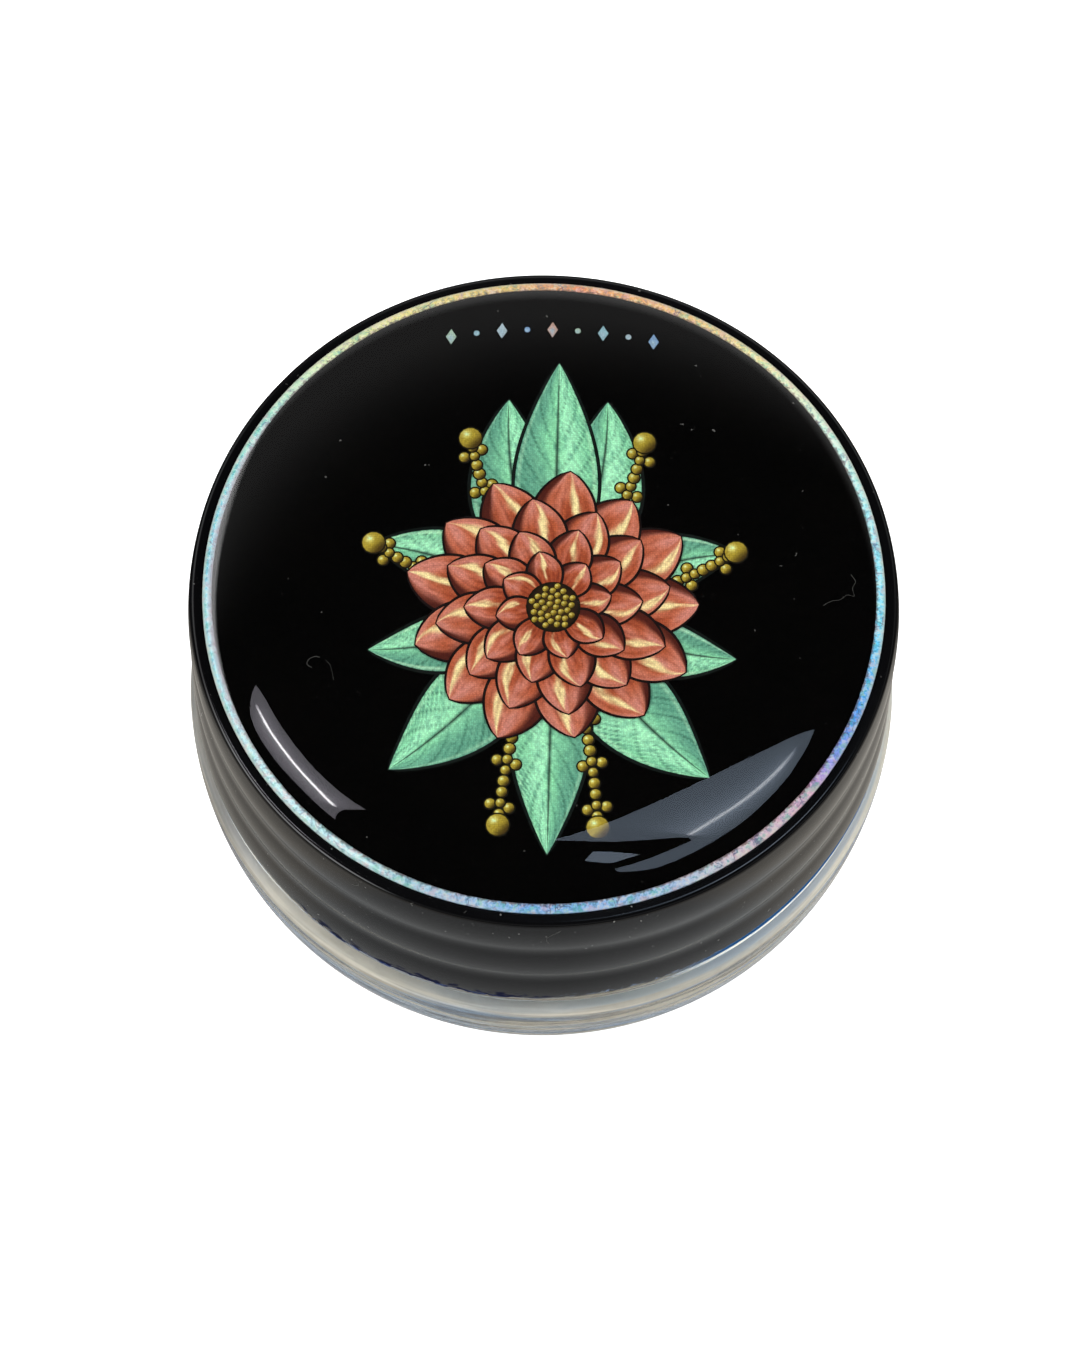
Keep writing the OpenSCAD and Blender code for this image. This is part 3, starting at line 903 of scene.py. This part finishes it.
# the flower's eye
P.dot(FX, FY, 2.1, lambda u, w: lerp((0.32, 0.22, 0.04), (0.10, 0.05, 0.01), u), rings=3, n=28, line=0.2)
for k in range(34):
    rr, aa = 1.95 * math.sqrt((k + 0.5) / 34), k * 2.39996
    P.dot(FX + rr * math.cos(aa), FY + rr * math.sin(aa), 0.27, gold_paint(k), rings=3, n=10, line=0.06)


def sheen(seed):
    """Bare foil showing through the print, white running to rainbow."""
    r = random.Random(seed)
    tone = [(0.72, 0.93, 0.98), (0.86, 0.96, 1.0), (0.62, 0.80, 1.0), (0.98, 0.78, 0.70), (0.84, 0.97, 0.86)][seed % 5]

    def paint(u, w):
        return [0.72 * ch for ch in lerp((0.80, 0.93, 1.0), tone, u * 1.1 + 0.35 * math.sin(w * 3 + r.random()))]
    return paint


# a plain row of lozenges and dots at the top
for i in range(-4, 5):
    x, y = 0.15 + i * 2.15, 24.0 - 0.012 * (i * 2.15) ** 2
    if i % 2 == 0:
        P.dot(x, y, 0.72, sheen(i + 8), n=4, rings=3, sx=0.62, line=0)
    else:
        P.dot(x, y, 0.25, sheen(i + 8), n=12, rings=2, line=0)

me = bpy.data.meshes.new("label_ornament")
me.from_pydata([(x * MM, y * MM, z * MM) for x, y, z in P.v], [], P.f)
me.update()
col = me.color_attributes.new(name="paint", type="FLOAT_COLOR", domain="POINT")
col.data.foreach_set("color", np.array(P.c, dtype=np.float32).ravel())
me.materials.append(M_ART)
art = bpy.data.objects.new("label_ornament", me)
bpy.context.scene.collection.objects.link(art)
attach(art, "lid")
print("print layers reach", round(P.z - INK_Z, 4), "mm of 0.08;", len(P.v), "vertices")


# ---------------------------------------------------------------- a few fibres of lint
def fibre(name, pts, r, mat, body):
    verts, faces = [], []
    n = 5
    for i, p in enumerate(pts):
        a, b = Vector(pts[max(0, i - 1)]), Vector(pts[min(len(pts) - 1, i + 1)])
        d = (b - a).normalized()
        s = d.cross(Vector((0, 0, 1))).normalized()
        t = d.cross(s)
        for k in range(n):
            q = Vector(p) + (s * math.cos(2 * math.pi * k / n) + t * math.sin(2 * math.pi * k / n)) * r
            verts.append(tuple(q))
    for i in range(len(pts) - 1):
        for k in range(n):
            j = (k + 1) % n
            faces.append((i * n + k, i * n + j, (i + 1) * n + j, (i + 1) * n + k))
    o = obj_from(name, verts, faces, [mat])
    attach(o, body)
    return o


def lint_material():
    t = Tree("lint")
    broad = t.noise(900.0, 2.0)
    colr = t.mix(t.span(broad, 0.3, 0.7), srgb(0.32, 0.32, 0.31), srgb(0.55, 0.55, 0.53))
    p = t.n("ShaderNodeBsdfPrincipled", Base_Color=colr, Roughness=t.span(broad, 0.3, 0.7, 0.6, 0.9),
            Normal=t.bump(broad, 0.2, 0.00002))
    return t.finish(p.outputs[0])


M_LINT = lint_material()
for k, (thick, line) in enumerate([
        (0.007, [(25.7, 1.9), (26.1, 1.3), (25.85, 0.65), (26.0, -0.05), (25.4, 0.0), (24.8, -0.5), (24.1, -0.65), (23.3, -1.2)]),
        (0.009, [(-19.2, -8.0), (-19.6, -7.7), (-19.5, -7.3), (-19.0, -7.0), (-18.5, -7.1)]),
        (0.004, [(-18.1, -7.3), (-17.7, -7.7), (-17.5, -8.4), (-17.3, -9.2)]),
        (0.007, [(-28.1, 2.6), (-28.5, 2.2), (-28.4, 1.6), (-28.0, 1.3)])]):
    pts = []
    for i in range(len(line) - 1):
        p0, p1, p2, p3 = (Vector(line[min(len(line) - 1, max(0, i + q))]) for q in (-1, 0, 1, 2))
        for m in range(5):
            u = m / 5
            q = 0.5 * (2 * p1 + (p2 - p0) * u + (2 * p0 - 5 * p1 + 4 * p2 - p3) * u * u + (3 * p1 - p0 - 3 * p2 + p3) * u ** 3)
            pts.append((q.x, q.y, INK_Z + dome_at(q.length) + 0.008))
    fibre(f"lint_{k}", pts, thick, M_LINT, "lid")
# and two on the side, just under the top edge
for k, (az, z0, dz, da, bow) in enumerate([(-86.0, TOP - 0.9, -2.6, -1.6, -1.3), (-120.2, TOP - 0.7, -1.2, -0.5, 0.9)]):
    pts = []
    for i in range(18):
        u = i / 17
        a = math.radians(az + da * u + bow * math.sin(math.pi * u))
        z = z0 + dz * u
        pts.append(((bulge(z) + 0.012) * math.cos(a), (bulge(z) + 0.012) * math.sin(a), z))
    fibre(f"lint_side_{k}", pts, 0.009, M_LINT, "lid")


# ---------------------------------------------------------------- stage
def stage_material():
    t = Tree("floor_paper")
    broad = t.noise(3.0, 2.0)
    c = t.mix(t.span(broad, 0.3, 0.7), srgb(0.955, 0.955, 0.955), srgb(0.965, 0.965, 0.965))
    d = t.n("ShaderNodeBsdfDiffuse", Color=c)
    az, r, z = polar(t)
    glow = t.n("ShaderNodeEmission", Strength=t.span(r, 0.0285, 0.0293, 0.0, 0.85))
    both = t.n("ShaderNodeAddShader")
    t.nt.links.new(d.outputs[0], both.inputs[0])
    t.nt.links.new(glow.outputs[0], both.inputs[1])
    x, y, z = t.sep()
    off = t.span(t.math("ABSOLUTE", x), 0.023, 0.031, 0.0, 1.0)
    seen = t.n("ShaderNodeEmission", Color=t.mix(off, srgb(1.0, 1.0, 1.0), srgb(1.0, 0.965, 0.92)),
               Strength=t.math("MULTIPLY", t.math("MULTIPLY", t.span(y, 0.002, 0.010, 1.0, 0.09), t.span(off, 0.0, 1.0, 0.28, 0.40)),
                                t.math("MULTIPLY", t.span(x, 0.004, 0.018, 1.0, 1.27), t.span(x, -0.020, -0.008, 1.07, 1.0))))
    lp = t.nt.nodes.new("ShaderNodeLightPath")
    mirrored = t.math("MULTIPLY", lp.outputs["Is Glossy Ray"],
                      t.math("SUBTRACT", 1.0, lp.outputs["Is Transmission Ray"]))
    return t.finish(t.shader_mix(mirrored, both.outputs[0], seen.outputs[0]))


v, f = lathe([(0, 0.0), (300, 0.0), (3000, 0.0)], 96)
floor = obj_from("floor", v, flip(f), [stage_material()], smooth=0)
floor.location.z = -0.00002
floor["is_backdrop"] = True


def card(name, outline, strength, colour=(1, 1, 1, 1), h=1.0):
    """A soft box, flat and level h metres above the lid, that shows only in reflections."""
    t = Tree(name + "_light")
    e = t.n("ShaderNodeEmission", Color=colour, Strength=strength)
    o = obj_from(name, [(x * h / MM, y * h / MM, TOP + h / MM) for x, y in outline],
                 [tuple(range(len(outline)))], [t.finish(e.outputs[0])], smooth=0)
    o.visible_camera = False
    o.visible_diffuse = False
    o.visible_shadow = False
    o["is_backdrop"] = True
    return o


def rounded(line, n=6, closed=False):
    """Points of a curve through the points of a line."""
    out, m = [], len(line)
    for i in range(m if closed else m - 1):
        p0, p1, p2, p3 = (Vector(line[(i + q) % m] if closed else line[min(m - 1, max(0, i + q))]) for q in (-1, 0, 1, 2))
        for k in range(n):
            u = k / n
            q = 0.5 * (2 * p1 + (p2 - p0) * u + (2 * p0 - 5 * p1 + 4 * p2 - p3) * u * u + (3 * p1 - p0 - 3 * p2 + p3) * u ** 3)
            out.append((q.x, q.y))
    return out if closed else out + [tuple(line[-1])]


def reach(p, d, outline):
    """Distance from p along d to the outline."""
    best = 9.0
    for i in range(len(outline)):
        a, b = Vector(outline[i - 1]), Vector(outline[i])
        e = b - a
        den = d.x * e.y - d.y * e.x
        if abs(den) > 1e-9:
            w = a - p
            u = (w.x * e.y - w.y * e.x) / den
            v = (w.x * d.y - w.y * d.x) / den
            if 0 <= v <= 1 and 0 < u < best:
                best = u
    return best if best < 0.2 else 0.012


def tube(name, line, core, outline, flat, tint, level, h=0.97):
    """The glow of a tube behind a soft box: bright along a line, falling to the box's own level at its edge."""
    line = rounded(line)
    verts, faces, glow = [], [], []
    offs = [(-1.0, 0.0), (-0.72, 0.12), (-0.45, 0.38), (-0.22, 0.72)] + [(c, v) for c, v in core] \
        + [(0.22, 0.72), (0.45, 0.38), (0.72, 0.12), (1.0, 0.0)]
    m = len(offs)
    for i, p in enumerate(line):
        a, b = Vector(line[max(0, i - 1)]), Vector(line[min(len(line) - 1, i + 1)])
        d = (b - a).normalized()
        nrm = Vector((-d.y, d.x))
        e = i / (len(line) - 1)
        k = min(1.0, e * 5, (1 - e) * 30 + 0.25)
        up, dn = reach(Vector(p), nrm, outline) * 0.97, reach(Vector(p), -nrm, outline) * 0.97
        for j, (off, val) in enumerate(offs):
            wide = j < 4 or j >= m - 4
            o = off * (up if off > 0 else dn) if wide else off
            lev = flat * (1.0 + level * val) if wide else val
            lev = flat + (lev - flat) * k
            verts.append(((p[0] + nrm.x * o) * h / MM, (p[1] + nrm.y * o) * h / MM, TOP + h / MM))
            own = min(lev, flat * (1 + level))
            glow += [own * tint[c] + (lev - own) for c in range(3)] + [1.0]
    for i in range(len(line) - 1):
        for j in range(m - 1):
            q = i * m + j
            faces.append((q, q + 1, q + m + 1, q + m))
    t = Tree(name + "_light")
    at = t.nt.nodes.new("ShaderNodeAttribute")
    at.attribute_name = "glow"
    e = t.n("ShaderNodeEmission", Color=at.outputs["Color"], Strength=1.0)
    o = obj_from(name, verts, faces, [t.finish(e.outputs[0])], smooth=0)
    o.data.attributes.new("glow", "FLOAT_COLOR", "POINT").data.foreach_set("color", glow)
    o.visible_camera = False
    o.visible_diffuse = False
    o.visible_shadow = False
    o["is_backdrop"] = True
    return o


def lamp(name, loc, size, watts, aim=(0, 0, 0.01)):
    ld = bpy.data.lights.new(name, "AREA")
    ld.shape = "RECTANGLE"
    ld.size, ld.size_y = size
    ld.energy = watts
    o = bpy.data.objects.new(name, ld)
    o.location = loc
    o.rotation_euler = (Vector(aim) - Vector(loc)).to_track_quat("-Z", "Y").to_euler()
    o.visible_glossy = False
    bpy.context.scene.collection.objects.link(o)
    o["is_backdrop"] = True
    return o


lamp("key_left", (-0.60, 0.12, 0.85), (0.7, 0.7), 5.4)
lamp("key_right", (0.60, 0.12, 0.85), (0.7, 0.7), 5.4)
lamp("fill_front", (0.0, -0.9, 0.55), (0.8, 0.5), 1.5)

LO = rounded([(-0.366, 0.283), (-0.427, 0.252), (-0.478, 0.220), (-0.549, 0.168), (-0.573, 0.112), (-0.520, 0.055),
              (-0.452, 0.018), (-0.371, -0.052)])
LF = rounded([(-0.371, -0.052), (-0.336, -0.007), (-0.291, 0.044), (-0.249, 0.085), (-0.187, 0.135)])
LI = rounded([(-0.187, 0.135), (-0.215, 0.147), (-0.253, 0.174), (-0.304, 0.228), (-0.336, 0.265), (-0.366, 0.283)])
LEFT = LO + LF[1:] + LI[1:-1]
LEFT_TINT, RIGHT_TINT = (0.98, 0.94, 1.06, 1), (0.80, 0.98, 1.24, 1)
card("box_left", LEFT, 2.0, LEFT_TINT)
tube("box_left_tube", [(-0.425, 0.232), (-0.402, 0.191), (-0.358, 0.142), (-0.319, 0.101), (-0.294, 0.058)],
     [(-0.014, 5.0), (-0.0055, 27.0), (0.0050, 27.0), (0.014, 6.0)], LEFT, 2.0, LEFT_TINT, 1.15)
RI = rounded([(0.369, 0.228), (0.281, 0.248), (0.174, 0.263), (0.117, 0.263), (0.081, 0.250), (0.051, 0.226), (0.012, 0.184)])
RL = rounded([(0.012, 0.184), (0.041, 0.173), (0.104, 0.138), (0.164, 0.098), (0.196, 0.060)])
RB = rounded([(0.196, 0.060), (0.178, 0.056), (0.150, 0.038), (0.123, 0.020), (0.100, 0.009)])
RO = rounded([(0.100, 0.009), (0.114, -0.024), (0.166, -0.064), (0.208, -0.066), (0.278, -0.015), (0.330, 0.036),
              (0.372, 0.120), (0.378, 0.184), (0.369, 0.228)])
RIGHT = RI + RL[1:] + RB[1:] + RO[1:-1]
card("box_right", RIGHT, 1.7, RIGHT_TINT)
tube("box_right_tube", [(0.318, 0.212), (0.292, 0.185), (0.262, 0.160), (0.231, 0.141), (0.199, 0.124), (0.172, 0.098)],
     [(-0.014, 3.6), (-0.005, 9.0), (0.005, 9.0), (0.016, 3.8)], RIGHT, 1.7, RIGHT_TINT, 1.0)
card("box_right_pane", [(0.050, 0.085), (0.053, 0.128), (0.072, 0.117), (0.117, 0.072), (0.085, 0.051)], 2.5,
     RIGHT_TINT, h=0.96)

# The room: white to the camera, soft to diffuse surfaces, and to gloss and glass a pale horizon under a dark ceiling
# that is a little lighter to the back.
world = bpy.data.worlds.new("studio")
bpy.context.scene.world = world
world.use_nodes = True
wn = world.node_tree
wn.nodes.clear()


def wnode(kind, op=None, **sockets):
    node = wn.nodes.new(kind)
    if op:
        node.operation = op
    for k, val in sockets.items():
        key = k[1:] if k[0] == "_" else k
        sock = node.inputs[int(key)] if key.isdigit() else node.inputs[key.replace("_", " ")]
        if isinstance(val, bpy.types.NodeSocket):
            wn.links.new(val, sock)
        else:
            sock.default_value = val
    return node.outputs[0]


def wspan(v, lo, hi, a, b):
    node = wn.nodes.new("ShaderNodeMapRange")
    node.interpolation_type = "SMOOTHSTEP"
    wn.links.new(v, node.inputs[0])
    for i, q in enumerate((lo, hi, a, b)):
        node.inputs[i + 1].default_value = q
    return node.outputs[0]


way = wn.nodes.new("ShaderNodeTexCoord").outputs["Generated"]
sep = wn.nodes.new("ShaderNodeSeparateXYZ")
wn.links.new(way, sep.inputs[0])
low_end = wspan(sep.outputs[2], 0.20, 0.44, 0.0, 1.0)
band = wnode("ShaderNodeMath", "MULTIPLY", _0=wspan(sep.outputs[2], 0.46, 0.74, 1.0, 0.0), _1=low_end)
left_band = wnode("ShaderNodeMath", "MULTIPLY", _0=wspan(sep.outputs[2], 0.69, 0.755, 1.0, 0.0), _1=low_end)
left_part = wspan(sep.outputs[0], -0.60, -0.46, 4.2, 0.0)
back_part = wspan(sep.outputs[1], 0.25, 0.80, 0.25, 1.0)
low_sky = wnode("ShaderNodeMath", "MAXIMUM",
                _0=wnode("ShaderNodeMath", "MULTIPLY", _0=left_band, _1=left_part),
                _1=wnode("ShaderNodeMath", "MULTIPLY", _0=band, _1=back_part))
q = wnode("ShaderNodeMath", "MULTIPLY_ADD", _0=sep.outputs[0], _1=-0.30,
          _2=wnode("ShaderNodeMath", "MULTIPLY", _0=sep.outputs[1], _1=0.95))
back_sky = wspan(q, 0.40, 0.64, 0.02, 0.26)
sky = wnode("ShaderNodeMath", "MAXIMUM", _0=low_sky, _1=back_sky)
lp = wn.nodes.new("ShaderNodeLightPath")
mirror_ray = wnode("ShaderNodeMath", "MAXIMUM", _0=lp.outputs["Is Glossy Ray"], _1=lp.outputs["Is Transmission Ray"])
b_cam = wnode("ShaderNodeBackground", Color=(1, 1, 1, 1), Strength=1.1)
b_dif = wnode("ShaderNodeBackground", Color=(1, 1, 1, 1), Strength=0.30)
b_mir = wnode("ShaderNodeBackground", Color=(1, 1, 1, 1), Strength=sky)
m1 = wnode("ShaderNodeMixShader", _0=mirror_ray, _1=b_dif, _2=b_mir)
m2 = wnode("ShaderNodeMixShader", _0=lp.outputs["Is Camera Ray"], _1=m1, _2=b_cam)
wout = wn.nodes.new("ShaderNodeOutputWorld")
wn.links.new(m2, wout.inputs["Surface"])

# ---------------------------------------------------------------- camera
EL, DIST, ROLL = math.radians(67.83), 0.600, 0.026
back = Vector((0, -math.cos(EL), math.sin(EL)))
up0 = Vector((0, math.sin(EL), math.cos(EL)))
rightc = Vector((1, 0, 0)) * math.cos(ROLL) + up0 * math.sin(ROLL)
upc = Vector((-1, 0, 0)) * math.sin(ROLL) + up0 * math.cos(ROLL)
cam = bpy.data.cameras.new("camera")
cam.sensor_fit = "AUTO"
cam.sensor_width = 36.0
cam.lens = 7139 * 36.0 / 1350
cam.clip_start, cam.clip_end = 0.01, 20.0
cam.dof.use_dof = False
co = bpy.data.objects.new("camera", cam)
co.location = Vector((0, 0, TOP * MM)) + back * DIST - rightc * 0.000340 - upc * 0.006799
co.rotation_euler = Matrix((rightc, upc, back)).transposed().to_euler()
bpy.context.scene.collection.objects.link(co)
bpy.context.scene.camera = co
bpy.context.scene.view_settings.view_transform = "Standard"
bpy.context.scene.view_settings.look = "None"


def plain(b):
    try:
        return [[float(x) for x in p] for p in b]
    except TypeError:
        return [float(x) for x in b]


{"cad": plain(cad_box), "visual": plain(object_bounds())}
